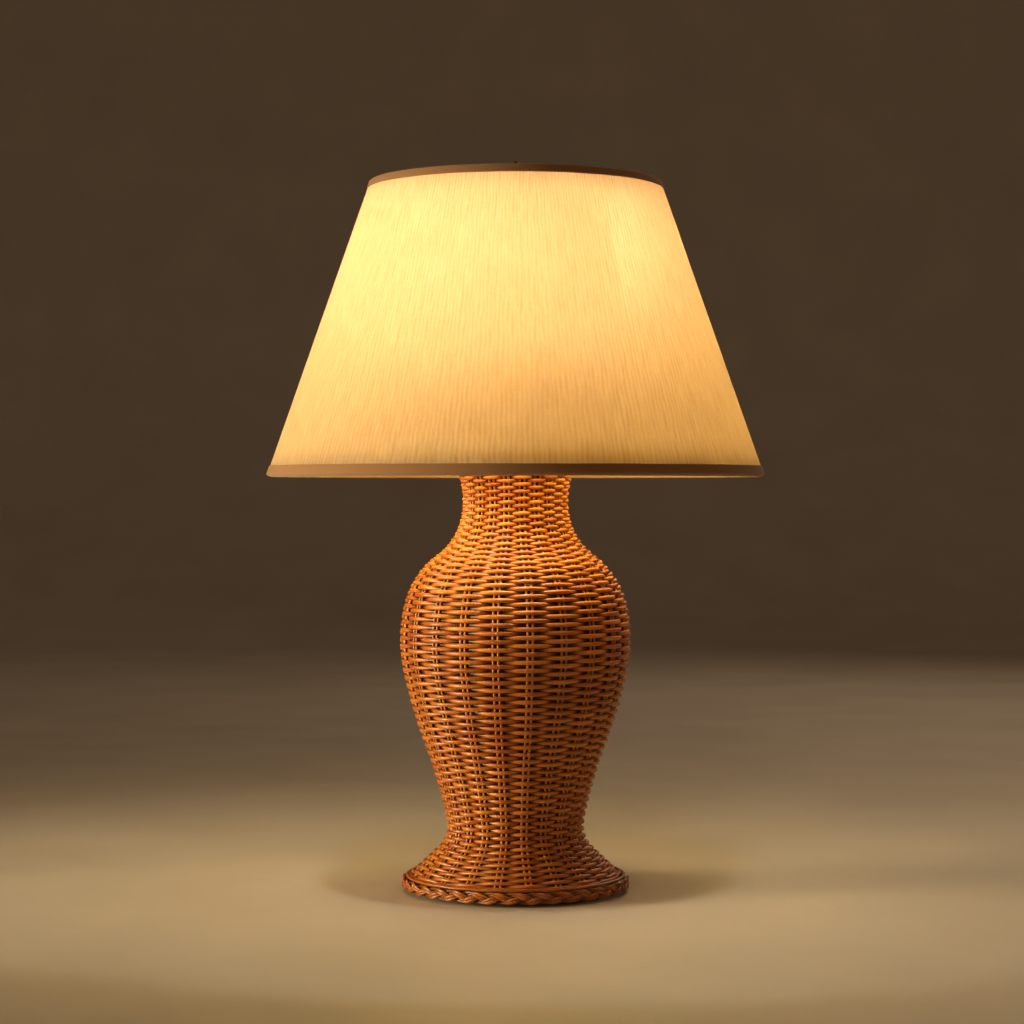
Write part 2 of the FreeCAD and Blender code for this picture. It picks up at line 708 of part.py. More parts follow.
def slope_point(along, inwards):
    """A point of the shade's section: a distance up its slope and a distance in from its trims."""
    radius = SHADE_LOW_RADIUS - SLOPE_IN * along - SLOPE_UP * inwards
    height = SHADE_LOW + SLOPE_UP * along - SLOPE_IN * inwards
    return (radius, height)


def cone_layer(inwards, wall):
    """A layer of the shade between its two folded edges."""
    low = TRIM_WALL
    top = SLOPE_LENGTH - TRIM_WALL
    return turned(
        slope_point(low, inwards),
        [slope_point(top, inwards), slope_point(top, inwards + wall), slope_point(low, inwards + wall)],
    )


def ring_centre(at_top):
    return slope_point(SLOPE_LENGTH - RING_ALONG if at_top else RING_ALONG, RING_IN)


def shade_ring(at_top):
    radius, height = ring_centre(at_top)
    return Part.makeTorus(radius, RING_WIRE_RADIUS, Vector(0, 0, height))


def shade_trim(height, at_top):
    """Bias tape folded round one edge of the shade and its ring."""

    def point(along, inwards):
        return slope_point(SLOPE_LENGTH - along if at_top else along, inwards)

    def corner(centre, radius, side_along, side_in):
        step = radius / math.sqrt(2)
        return point(centre[0] + side_along * step, centre[1] + side_in * step)

    wall = TRIM_WALL
    inner_radius = RING_WIRE_RADIUS + SLACK
    outer_radius = TURN_IN - RING_IN
    ring = (RING_ALONG, RING_IN)
    fold = RING_ALONG - inner_radius
    return turned(
        point(height, wall),
        [
            (corner((height - wall, wall), wall, 1, -1), point(height - wall, 0)),
            point(wall, 0),
            (corner((wall, wall), wall, -1, -1), point(0, wall)),
            point(0, RING_IN),
            (corner(ring, outer_radius, -1, 1), point(RING_ALONG, TURN_IN)),
            point(TRIM_TURN_IN, TURN_IN),
            point(TRIM_TURN_IN, RING_IN + inner_radius),
            point(RING_ALONG, RING_IN + inner_radius),
            (corner(ring, inner_radius, -1, 1), point(fold, RING_IN)),
            point(fold, wall),
        ],
    )


def spider_arms():
    """Three bent arms from the washer to the top ring."""
    ring_radius, ring_z = ring_centre(True)
    arm_z = SPIDER_WASHER_LOW + SPIDER_WASHER_HEIGHT / 2
    bend = math.acos(1 - (ring_z - arm_z) / (2 * SPIDER_BEND_RADIUS))
    turn = math.degrees(bend)
    straight = ring_radius - SPIDER_ARM_START - 2 * SPIDER_BEND_RADIUS * math.sin(bend)
    moves = [(straight, 0), (SPIDER_BEND_RADIUS, turn), (-SPIDER_BEND_RADIUS, -turn)]
    arm = swept(track((SPIDER_ARM_START, arm_z), 0, moves), SPIDER_ARM_RADIUS)
    arms = []
    for angle in SPIDER_ARM_ANGLES:
        copy = arm.copy()
        copy.rotate(CENTRE, UP, angle)
        arms.append(copy)
    return arms


def shade_spider():
    """The washer that sits on the harp, with three arms welded between its edge and the ring."""
    washer = tube(
        SPIDER_HOLE_RADIUS,
        SPIDER_WASHER_RADIUS,
        SPIDER_WASHER_LOW,
        SPIDER_WASHER_LOW + SPIDER_WASHER_HEIGHT,
    )
    middle = rod(SPIDER_WASHER_RADIUS, Vector(0, 0, HARP_TOP), UP, SHADE_TOP - HARP_TOP)
    arms = [arm.cut(middle).cut(shade_ring(True)) for arm in spider_arms()]
    return Part.makeCompound([washer] + arms)


def shade_trim_top():
    """The upper trim, notched where the arms reach the ring."""
    trim = shade_trim(TRIM_TOP_HEIGHT, True)
    for arm in spider_arms():
        trim = trim.cut(arm)
    return trim


def finial_base():
    """Turned collar that screws on to the stud."""
    bore = STUD_RADIUS + SLACK
    waist = 0.62 * FINIAL_BASE_RADIUS
    middle = (FINIAL_LOW + FINIAL_BASE_TOP) / 2
    return turned(
        (bore, FINIAL_LOW),
        [
            (FINIAL_BASE_RADIUS, FINIAL_LOW),
            (FINIAL_BASE_RADIUS, FINIAL_LOW + FINIAL_FLANGE_HEIGHT),
            ((waist, middle + 1), (0.75 * FINIAL_BASE_RADIUS, FINIAL_BASE_TOP)),
            (0, FINIAL_BASE_TOP),
            (0, FINIAL_BORE_TOP),
            (bore, FINIAL_BORE_TOP),
        ],
    )


def finial_knob():
    """Turned knob: a collar, a ball and a rounded tip."""
    low = FINIAL_BASE_TOP + SLACK
    groove_low = low + FINIAL_COLLAR_HEIGHT
    ball_low = groove_low + FINIAL_GROOVE_HEIGHT
    ball_top = ball_low + FINIAL_BALL_HEIGHT
    tip_z = FINIAL_TIP - FINIAL_TIP_RADIUS
    tip_side = FINIAL_TIP_RADIUS / math.sqrt(2)
    return turned(
        (0, low),
        [
            (FINIAL_COLLAR_RADIUS, low),
            (FINIAL_COLLAR_RADIUS, groove_low),
            ((FINIAL_GROOVE_RADIUS, (groove_low + ball_low) / 2), (FINIAL_COLLAR_RADIUS, ball_low)),
            ((FINIAL_BALL_RADIUS, (ball_low + ball_top) / 2), (FINIAL_NECK_RADIUS, ball_top)),
            (FINIAL_TIP_RADIUS, tip_z),
            ((tip_side, tip_z + tip_side), (0, FINIAL_TIP)),
        ],
    )


def build_nodes():
    """Every node's name and shape."""
    half_wall = WEAVE_THICKNESS / 2
    washer_low = RECESS_TOP - PIPE_WASHER_HEIGHT
    return {
        "base_felt": rod(FELT_RADIUS, CENTRE, UP, FELT_TOP),
        "base_plate": base_plate(),
        "base_weight": tube(PIPE_HOLE_RADIUS, WEIGHT_RADIUS, PLATE_TOP, WEIGHT_TOP),
        "weight_nut": hex_nut(NUT_FLATS, WEIGHT_TOP, NUT_HEIGHT),
        "lamp_pipe": tube(PIPE_BORE_RADIUS, PIPE_RADIUS, PIPE_LOW, PIPE_TOP),
        "pipe_washer": tube(PIPE_HOLE_RADIUS, PIPE_WASHER_RADIUS, washer_low, RECESS_TOP),
        "pipe_nut": hex_nut(NUT_FLATS, washer_low - NUT_HEIGHT, NUT_HEIGHT),
        "cord_bushing": cord_bushing(),
        "foot_border": foot_border(),
        "stakes": stakes(),
        "weave_outer": weave_bands(half_wall - WEAVER_LAYER, half_wall),
        "weave_inner": weave_layer(-half_wall, WEAVER_LAYER - half_wall),
        "neck_border": neck_border(),
        "neck_plug": neck_plug(),
        "vase_cap": vase_cap(),
        "neck_tube": tube(PIPE_HOLE_RADIUS, TUBE_RADIUS, CAP_TOP, SADDLE_LOW),
        "harp_saddle": harp_saddle(),
        "saddle_nut": hex_nut(NUT_FLATS, SADDLE_TOP, SOCKET_LOW - SADDLE_TOP),
        "socket_cap": socket_cap(),
        "socket_set_screw": socket_set_screw(),
        "socket_shell": socket_shell(),
        "socket_liner": socket_liner(),
        "socket_body": socket_body(),
        "screw_shell": screw_shell(),
        "center_contact": rod(CONTACT_RADIUS, Vector(0, 0, INSULATOR_TOP), UP, CONTACT_TOP - INSULATOR_TOP),
        "terminal_screws": terminal_screws(),
        "switch_shaft": switch_shaft(),
        "switch_knob": switch_knob(),
        "harp_bow": harp_bow(),
        "harp_washer": tube(
            STUD_HOLE_RADIUS, HARP_WASHER_RADIUS, HARP_TOP + HARP_WIRE_RADIUS, HARP_WASHER_TOP
        ),
        "harp_stud": harp_stud(),
        "sleeve_left": sleeve(-1),
        "sleeve_right": sleeve(1),
        "shade_spider": shade_spider(),
        "shade_top_ring": shade_ring(True),
        "shade_bottom_ring": shade_ring(False),
        "shade_liner": cone_layer(SHADE_LINER_IN, SHADE_LINER_WALL),
        "shade_fabric": cone_layer(FABRIC_IN, FABRIC_WALL),
        "shade_trim_top": shade_trim_top(),
        "shade_trim_bottom": shade_trim(TRIM_LOW_HEIGHT, False),
        "finial_base": finial_base(),
        "finial_knob": finial_knob(),
        "bulb_contact": rod(CONTACT_RADIUS, Vector(0, 0, BULB_LOW), UP, BULB_TIP_HEIGHT),
        "bulb_insulator": bulb_insulator(),
        "bulb_cap": tube(BULB_CAP_RADIUS - BULB_CAP_WALL, BULB_CAP_RADIUS, BULB_CAP_LOW, BULB_CAP_TOP),
        "bulb_glass": bulb_glass(),
        "bulb_stem": bulb_stem(),
        "bulb_filament": bulb_filament(),
    }


os.makedirs("parts", exist_ok=True)
for node_name, node_shape in build_nodes().items():
    print(node_name, node_shape.isValid(), len(node_shape.Solids), round(node_shape.Volume, 1))
    node_shape.exportStep("parts/" + node_name + ".step")
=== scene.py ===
"""The looks of a woven table lamp: cane body, braided foot, linen shade, fittings, room and camera."""
import math

import bpy
import numpy as np
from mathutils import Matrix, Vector

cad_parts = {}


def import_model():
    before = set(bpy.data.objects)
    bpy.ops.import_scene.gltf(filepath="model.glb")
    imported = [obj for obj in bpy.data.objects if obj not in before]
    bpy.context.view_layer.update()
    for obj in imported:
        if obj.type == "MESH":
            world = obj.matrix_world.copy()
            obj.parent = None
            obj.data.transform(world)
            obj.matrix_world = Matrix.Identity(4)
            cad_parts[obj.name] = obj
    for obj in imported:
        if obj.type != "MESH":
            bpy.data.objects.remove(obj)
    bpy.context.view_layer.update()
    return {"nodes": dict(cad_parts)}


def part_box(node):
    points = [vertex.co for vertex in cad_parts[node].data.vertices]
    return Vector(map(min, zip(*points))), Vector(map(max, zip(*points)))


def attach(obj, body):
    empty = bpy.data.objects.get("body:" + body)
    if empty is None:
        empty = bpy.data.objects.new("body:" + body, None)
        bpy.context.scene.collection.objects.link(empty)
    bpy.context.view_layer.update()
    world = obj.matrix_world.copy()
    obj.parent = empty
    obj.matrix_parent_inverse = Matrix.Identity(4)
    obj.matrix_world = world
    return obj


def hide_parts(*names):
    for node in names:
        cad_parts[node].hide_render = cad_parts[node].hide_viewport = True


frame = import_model()
NODES = frame["nodes"]
MM = 0.001
TAU = 2 * math.pi
RNG = np.random.default_rng(21)

# Outside of the woven body: a chain of tangent arcs (signed radius in mm, signed turn in degrees), as in
# the CAD.
BODY_START = (89.18, 13.74)
BODY_HEADING = 140.36
BODY_ARCS = [
    (-339.7, -6.1),
    (-20.3, -55.6),
    (-385.1, -9.4),
    (424.0, 8.7),
    (122.8, 26.9),
    (72.2, 39.0),
    (-48.3, -43.8),
    (-62.9, -35.5),
]
WEAVE_THICKNESS = 8.6 * MM

# Pairs of upright stakes, and how far each one may wander sideways.
STAKE_PAIRS = 21
STAKE_RADIUS = 1.05 * MM
STAKE_HALF_SPACING = 2.0 * MM
STAKE_TURN = math.radians(88.8)
STAKE_SWAY = 0.25 * MM
STAKE_BENDS = 9
STAKE_SAMPLES = 230
STAKE_SIDES = 6
STAKE_END_GAP = 0.3 * MM

# The weaver's waves: depth, share of the wall's slope that a wave follows, and seeded unevenness.
WAVE_DEPTH = 2.45 * MM
WAVE_LEAN = 0.45
WAVE_UNEVENNESS = 0.08
ROW_WANDER = 0.13 * MM
STRAND_UNEVENNESS = 0.06
WEAVE_ZONES = ("foot", "waist", "lower", "belly", "upper", "neck")
WEAVE_END_GAP = 1.2 * MM
WEAVE_START_SINK = 0.4 * MM
SAMPLES_PER_WAVE = 18
STRAND_SIDES = 8

# Half-sizes of the weaver's section as shares of the row pitch, and how much it spreads where it bulges.
STRAND_HALF_HEIGHT = 0.53
STRAND_SWELL = 0.05
STRAND_HALF_DEPTH = 0.42

# Row pitch of the weave along the wall, in mm, at shares of the wall's length from foot to neck.
PITCH_AT = (0.0, 0.2, 0.45, 0.65, 0.85, 1.0)
PITCH = (3.0, 3.1, 3.2, 3.26, 3.0, 2.9)

# Where the wall's normal points up by more than this, the weaver is kept clear of the base plate.
FLARE_NORMAL_Z = 0.3

# Braid round the foot: each strand is a flat bundle of reeds that narrows where it turns.
BRAID_PERIODS = 11
BRAID_STRANDS = 3
BRAID_REEDS = (-0.5, 0.5)
BRAID_HALF_HEIGHT = 3.0 * MM
BRAID_DEPTH = 1.35 * MM
BRAID_REED_HALF_HEIGHT = 1.45 * MM
BRAID_REED_HALF_DEPTH = 0.95 * MM
BRAID_REED_SPACING = 2.3 * MM
BRAID_PINCH = 0.5
BRAID_RADIUS = 90.6 * MM
BRAID_UNEVENNESS = 0.35 * MM
BRAID_LUMPS = 50
BRAID_SAMPLES_PER_PERIOD = 42

# Share of the first wave in the path of a strand. With a ninth of a third wave it makes straight slants.
BRAID_FIRST_WAVE = 0.9

# Plain rod on top of the braid.
ROD_RADIUS = 1.35 * MM
ROD_RING_RADIUS = 88.0 * MM
ROD_BELOW_TOP = 0.3 * MM
ROD_WAVE = 0.15 * MM

# Neck rim, whipped with one thin reed.
RIM_WRAPS = 118
RIM_REED_RADIUS = 1.15 * MM
RIM_REED_SPREAD = 1.1
RIM_SAMPLES_PER_WRAP = 14
RIM_REED_SIDES = 6
RIM_CORE_SAMPLES = 180
RIM_CORE_SIDES = 16

# Tones of the reeds, from 0 (dark) to 1 (pale), and the light painted shade on a reed that is out in the
# open.
WEAVE_TONE = 0.35
WEAVE_TONE_RANGE = 0.45
STAKE_TONES = (0.4, 1.0)
BRAID_TONES = (0.0, 0.55)
ROD_TONE = 0.3
RIM_TONE = 0.4
RIM_TONE_RANGE = 0.4
OPEN_PAINTED_SHADE = 0.1

# Painted shade on the weaver: what it starts from and what it gains as it dips behind a stake.
WEAVE_PAINTED_SHADE = 0.12
WEAVE_PAINTED_SHADE_GAIN = 1.3
# The most painted shade in the braid's hollows, and the painted shade on the rim's core.
BRAID_PAINTED_SHADE = 0.8
RIM_CORE_PAINTED_SHADE = 0.9

# Numbers that set the grain of one reed apart from the next.
STAKE_SEED = 10
BRAID_SEED = 60
ROD_SEED = 80
RIM_SEED = 90

# Shade, as offsets inwards from the outer corners of its trims.
SHADE_LOW = (203.2 * MM, 338.6 * MM)
SHADE_TOP = (119.5 * MM, 577.4 * MM)
TRIM_WALL = 1.4 * MM
TAPE_IN = 0.6 * MM
FABRIC_IN = 1.5 * MM
FABRIC_WALL = 0.8 * MM
LINING_IN = 2.4 * MM
LINING_WALL = 0.8 * MM
RING_IN = 4.9 * MM
RING_ALONG = 3.0 * MM
RING_RADIUS = 1.6 * MM
TRIM_LOW_HEIGHT = 8.8 * MM
TRIM_TOP_HEIGHT = 7.4 * MM
TRIM_TURN_IN = 6.5 * MM
TRIM_SEAM = 0.1 * MM

# Ripple of the shade's skins: waves round the rim, and how far each skin wanders in and out.
RIPPLE_HARMONICS = (3, 5, 8, 13, 21, 34)
LINEN_RIPPLE = 0.12 * MM
LINING_RIPPLE = 0.02 * MM
TAPE_RIPPLE = 0.14 * MM

# Room: a floor that bends up into a wall, and the point that the studio lights are aimed at.
FLOOR_FRONT = -3.5
FLOOR_LENGTH = 6.5
FLOOR_HALF_WIDTH = 6
WALL_BEND = 1.5
WALL_TOP = 4.5
FLAT_SHARE = 0.6
AIM = (0, 0, 0.28)

# Light that the shade's lining throws back, as a ring of small lights above its lower rim.
SMALL_GLOW_RADIUS = 0.012
LOW_GLOWS = 10
LOW_GLOW_RADIUS = 0.070
LOW_GLOW_HEIGHT = 0.378

# Camera: distance from the lamp's axis, height over the table, focal length, tilt and pan.
CAMERA_DISTANCE = 2.026
CAMERA_HEIGHT = 0.326
CAMERA_LENS = 87.3
CAMERA_TILT = 0.5
CAMERA_PAN = 0.08
CAMERA_REACH = 50

# Colour sockets of Blender's Mix node, whose names it shares with its number sockets.
MIX_A = 6
MIX_B = 7
MIX_RESULT = 2


# ---------------------------------------------------------------- mesh helpers


def place_in_scene(name, data):
    """A new object in the scene for a mesh, a light or a camera."""
    thing = bpy.data.objects.new(name, data)
    bpy.context.scene.collection.objects.link(thing)
    return thing


def smooth_mesh(name, verts, faces, material):
    mesh = bpy.data.meshes.new(name)
    mesh.from_pydata([tuple(v) for v in verts], [], [tuple(f) for f in faces])
    mesh.polygons.foreach_set("use_smooth", [True] * len(mesh.polygons))
    mesh.materials.append(material)
    return mesh


def mesh_object(name, verts, faces, material, body, attributes):
    """A mesh piece that rides on a body, with point attributes {name: (n,) or (n, 3) array}."""
    mesh = smooth_mesh(name, verts, faces, material)
    for key, values in attributes.items():
        values = np.asarray(values, float)
        kind = "FLOAT_VECTOR" if values.ndim == 2 else "FLOAT"
        layer = mesh.attributes.new(key, kind, "POINT")
        layer.data.foreach_set("vector" if values.ndim == 2 else "value", values.ravel())
    mesh.update()
    piece = place_in_scene(name, mesh)
    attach(piece, body)
    return piece


def grid_faces(rows, cols, wrap_rows=False, wrap_cols=False):
    """Quads of a grid of points stored row by row."""
    r = np.arange(rows if wrap_rows else rows - 1)
    c = np.arange(cols if wrap_cols else cols - 1)
    r0, c0 = np.meshgrid(r, c, indexing="ij")
    r1 = (r0 + 1) % rows
    c1 = (c0 + 1) % cols
    corners = [r0 * cols + c0, r0 * cols + c1, r1 * cols + c1, r1 * cols + c0]
    return np.stack([k.ravel() for k in corners], axis=1)


def join(parts):
    """One (verts, faces, attributes) from several."""
    verts, faces, attributes, count = [], [], {}, 0
    for part_verts, part_faces, part_attributes in parts:
        verts.append(part_verts)
        faces += [tuple(i + count for i in face) for face in part_faces]
        for key, values in part_attributes.items():
            attributes.setdefault(key, []).append(values)
        count += len(part_verts)
    return np.concatenate(verts), faces, {key: np.concatenate(v) for key, v in attributes.items()}


def tube(centres, outwards, wide, deep, sides, closed, seed, painted_shade, tone):
    """A reed along centre points: (verts, faces, attributes).

    outwards is a rough outward direction for each point, wide and deep are half-sizes across and along it.
    The strand attribute holds the length along the reed, the place across it and a number for the reed.
    The amount of painted shade (0 to 1) and tone (0 dark, 1 pale) are one number, or one for each centre
    point.
    """
    if closed:
        along = np.roll(centres, -1, 0) - np.roll(centres, 1, 0)
    else:
        along = np.gradient(centres, axis=0)
    along /= np.linalg.norm(along, axis=1, keepdims=True)
    out = outwards - (outwards * along).sum(1, keepdims=True) * along
    out /= np.linalg.norm(out, axis=1, keepdims=True)
    across = np.cross(along, out)
    angles = np.arange(sides) * TAU / sides
    wide = np.broadcast_to(wide, len(centres))[:, None, None]
    deep = np.broadcast_to(deep, len(centres))[:, None, None]
    ring = np.cos(angles)[None, :, None] * out[:, None, :] * deep
    ring = ring + np.sin(angles)[None, :, None] * across[:, None, :] * wide
    verts = (centres[:, None, :] + ring).reshape(-1, 3)
    steps = np.linalg.norm(np.diff(centres, axis=0), axis=1)
    length = np.concatenate([[0], np.cumsum(steps)])
    faces = [tuple(f) for f in grid_faces(len(centres), sides, wrap_rows=closed, wrap_cols=True)]
    if not closed:
        last = (len(centres) - 1) * sides
        faces.append(tuple(range(sides - 1, -1, -1)))
        faces.append(tuple(range(last, last + sides)))
    strand = np.stack(
        [
            np.repeat(length, sides),
            np.tile(np.sin(angles) / 2, len(centres)),
            np.full(len(verts), float(seed)),
        ],
        axis=1,
    )
    attributes = {
        "strand": strand,
        "painted_shade": np.repeat(np.broadcast_to(painted_shade, len(centres)), sides),
        "tone": np.repeat(np.broadcast_to(tone, len(centres)), sides),
    }
    return verts, faces, attributes


def around(radius, angle, z):
    """Points at a radius and angle about the lamp's axis. Each argument is one number or an array."""
    radius, angle, z = np.broadcast_arrays(radius, angle, z)
    return np.stack([radius * np.cos(angle), radius * np.sin(angle), z], axis=1)


def drift(count, nodes):
    """A seeded zigzag between -1 and 1 with a given number of nodes."""
    values = RNG.uniform(-1, 1, nodes)
    return np.interp(np.linspace(0, nodes - 1, count), np.arange(nodes), values)


def even(count):
    """Angles spaced evenly round a circle."""
    return np.linspace(0, TAU, count, endpoint=False)


# ---------------------------------------------------------------- material helpers


class Nodes:
    """Short calls for building one material's node tree."""

    def __init__(self, name, **sockets):
        self.material = bpy.data.materials.new(name)
        self.material.use_nodes = True
        self.tree = self.material.node_tree
        self.shader = self.tree.nodes["Principled BSDF"]
        for socket, value in sockets.items():
            self.shader.inputs[socket.replace("_", " ")].default_value = value

    def add(self, kind, **settings):
        node = self.tree.nodes.new("ShaderNode" + kind)
        for key, value in settings.items():
            setattr(node, key, value)
        return node

    def link(self, output, socket):
        self.tree.links.new(output, socket)

    def coords(self, scale, attribute=None):
        """Object coordinates, or a vector attribute, times a scale per axis."""
        mapping = self.add("Mapping")
        mapping.inputs["Scale"].default_value = scale
        if attribute:
            source = self.add("Attribute", attribute_name=attribute).outputs["Vector"]
        else:
            source = self.add("TexCoord").outputs["Object"]
        self.link(source, mapping.inputs["Vector"])
        return mapping.outputs["Vector"]

    def noise(self, vector, scale, detail=4.0, rough=0.55):
        node = self.add("TexNoise")
        node.inputs["Scale"].default_value = scale
        node.inputs["Detail"].default_value = detail
        node.inputs["Roughness"].default_value = rough
        self.link(vector, node.inputs["Vector"])
        return node.outputs["Fac"]

    def wave(self, vector, scale, distortion=0.0, direction="X"):
        node = self.add("TexWave", bands_direction=direction)
        node.inputs["Scale"].default_value = scale
        node.inputs["Distortion"].default_value = distortion
        self.link(vector, node.inputs["Vector"])
        return node.outputs["Fac"]

    def value(self, attribute):
        return self.add("Attribute", attribute_name=attribute).outputs["Fac"]

    def ramp(self, value, stops):
        """A colour ramp from [(position, (r, g, b)), ...]."""
        node = self.add("ValToRGB")
        elements = node.color_ramp.elements
        while len(elements) < len(stops):
            elements.new(0.5)
        for element, (position, colour) in zip(elements, stops):
            element.position = position
            element.color = (*colour, 1)
        self.link(value, node.inputs["Fac"])
        return node.outputs["Color"]

    def mix(self, fac, a, b, blend="MIX"):
        """Mixes two colours, each an output or an (r, g, b)."""
        node = self.add("Mix", data_type="RGBA", blend_type=blend)
        self.feed(fac, node.inputs["Factor"])
        self.feed(a, node.inputs[MIX_A])
        self.feed(b, node.inputs[MIX_B])
        return node.outputs[MIX_RESULT]

    def feed(self, source, socket):
        """Links an output to a socket, or sets the socket to an (r, g, b) or a number."""
        if isinstance(source, bpy.types.NodeSocket):
            self.link(source, socket)
        elif isinstance(source, tuple):
            socket.default_value = (*source, 1)
        else:
            socket.default_value = source

    def spread(self, value, low, high):
        """A 0 to 1 value mapped to a range."""
        node = self.add("MapRange")
        node.inputs["To Min"].default_value = low
        node.inputs["To Max"].default_value = high
        self.link(value, node.inputs["Value"])
        return node.outputs["Result"]

    def colour(self, output):
        self.link(output, self.shader.inputs["Base Color"])

    def roughness(self, value, low, high):
        self.link(self.spread(value, low, high), self.shader.inputs["Roughness"])

    def bump(self, *heights):
        """Bumps stacked on one another, each (height output, strength, distance in metres)."""
        normal = None
        for height, strength, distance in heights:
            node = self.add("Bump")
            node.inputs["Strength"].default_value = strength
            node.inputs["Distance"].default_value = distance
            self.link(height, node.inputs["Height"])
            if normal:
                self.link(normal, node.inputs["Normal"])
            normal = node.outputs["Normal"]
        self.link(normal, self.shader.inputs["Normal"])
        return normal

    def let_light_through(self, share, colour, normal=None):
        """Makes a share of the surface translucent, in a colour of its own."""
        through = self.add("BsdfTranslucent")
        self.feed(colour, through.inputs["Color"])
        if normal:
            self.link(normal, through.inputs["Normal"])
        both = self.add("MixShader")
        both.inputs["Fac"].default_value = share
        self.link(self.shader.outputs["BSDF"], both.inputs[1])
        self.link(through.outputs["BSDF"], both.inputs[2])
        self.link(both.outputs["Shader"], self.tree.nodes["Material Output"].inputs["Surface"])


# ---------------------------------------------------------------- materials


def cane(name, dark, mid, light, painted_shade_colour):
    """Varnished reed: grain along each strand, tones from strand to strand and painted shade in the hollows.
    """
    n = Nodes(name, Coat_Weight=0.4, Coat_Roughness=0.27, Coat_Tint=(1.0, 0.74, 0.42, 1))
    grain = n.noise(n.coords((60, 9, 17), "strand"), 1.0, 5.0)
    fibre = n.noise(n.coords((25, 60, 31), "strand"), 1.0, 3.0, 0.7)
    blotch = n.noise(n.coords((14, 14, 14)), 1.0, 3.0)
    base = n.ramp(grain, [(0.25, dark), (0.5, mid), (0.75, light)])
    streaked = n.mix(n.spread(fibre, 0.0, 0.55), base, dark, "MULTIPLY")
    toned = n.mix(n.value("tone"), streaked, n.mix(0.6, streaked, light))
    blotched = n.mix(n.spread(blotch, -0.25, 0.6), toned, mid, "MULTIPLY")
    # Painted shade: the reed is darkened towards its shade colour, most where it lies in a hollow or behind
    # another reed.
    n.colour(n.mix(n.value("painted_shade"), blotched, painted_shade_colour, "MULTIPLY"))
    n.roughness(grain, 0.26, 0.46)
    n.bump((fibre, 0.35, 0.0004), (grain, 0.25, 0.0006))
    return n.material


def turned_wood():
    """Stained wood with growth rings about a slanted axis."""
    n = Nodes("stained_wood", Coat_Weight=0.35, Coat_Roughness=0.25)
    vector = n.coords((1.0, 0.18, 1.0))
    rings = n.wave(vector, 38.0, 5.0)
    pores = n.noise(n.coords((260, 30, 260)), 1.0, 4.0)
    dark, mid, light = (0.11, 0.048, 0.018), (0.25, 0.125, 0.05), (0.34, 0.18, 0.08)
    wood = n.ramp(rings, [(0.1, dark), (0.6, mid), (0.95, light)])
    n.colour(n.mix(n.spread(pores, 0.0, 0.6), wood, (0.16, 0.08, 0.035), "MULTIPLY"))
    n.roughness(pores, 0.34, 0.55)
    n.bump((pores, 0.3, 0.0003))
    return n.material


def metal(name, colour, tarnish, low, high, grain=(400, 400, 30), metallic=1.0):
    """A metal with brushed grain, patches of tarnish and uneven polish."""
    n = Nodes(name, Metallic=metallic)
    brushed = n.noise(n.coords(grain), 1.0, 3.0)
    patches = n.noise(n.coords((45, 45, 45)), 1.0, 5.0, 0.65)
    polished = tuple(min(1, 1.12 * c) for c in colour)
    n.colour(n.ramp(patches, [(0.32, tarnish), (0.58, colour), (0.8, polished)]))
    n.roughness(n.mix(0.5, brushed, patches), low, high)
    n.bump((brushed, 0.15, 0.00008), (patches, 0.08, 0.0002))
    return n.material


def moulded(name, colour, low, high, coat=0.0):
    """Moulded plastic or board with a fine texture and slight unevenness."""
    n = Nodes(name, Coat_Weight=coat, Coat_Roughness=0.2)
    fine = n.noise(n.coords((900, 900, 900)), 1.0, 2.0)
    broad = n.noise(n.coords((60, 60, 60)), 1.0, 4.0)
    dark = tuple(0.75 * c for c in colour)
    light = tuple(1.2 * c for c in colour)
    n.colour(n.ramp(broad, [(0.3, dark), (0.7, light)]))
    n.roughness(fine, low, high)
    n.bump((fine, 0.2, 0.0001))
    return n.material


def cast_iron():
    """Rough sand-cast iron with a little rust."""
    n = Nodes("cast_iron", Metallic=0.6)
    lumps = n.noise(n.coords((300, 300, 300)), 1.0, 6.0, 0.7)
    rust = n.noise(n.coords((50, 50, 50)), 1.0, 5.0)
    iron, scale, red = (0.06, 0.06, 0.065), (0.09, 0.085, 0.08), (0.19, 0.09, 0.045)
    n.colour(n.ramp(rust, [(0.4, iron), (0.62, scale), (0.78, red)]))
    n.roughness(lumps, 0.55, 0.85)
    n.bump((lumps, 0.8, 0.0006))
    return n.material


def felt():
    """Green felt with a matted nap."""
    n = Nodes("green_felt", Roughness=0.95, Sheen_Weight=0.6, Sheen_Roughness=0.5)
    fibre = n.noise(n.coords((700, 700, 700)), 1.0, 6.0, 0.8)
    nap = n.noise(n.coords((90, 60, 90)), 1.0, 4.0)
    base = n.ramp(fibre, [(0.3, (0.035, 0.06, 0.04)), (0.7, (0.10, 0.16, 0.105))])
    n.colour(n.mix(n.spread(nap, 0.0, 0.5), base, (0.06, 0.09, 0.06)))
    n.bump((fibre, 0.9, 0.0006), (nap, 0.3, 0.001))
    return n.material


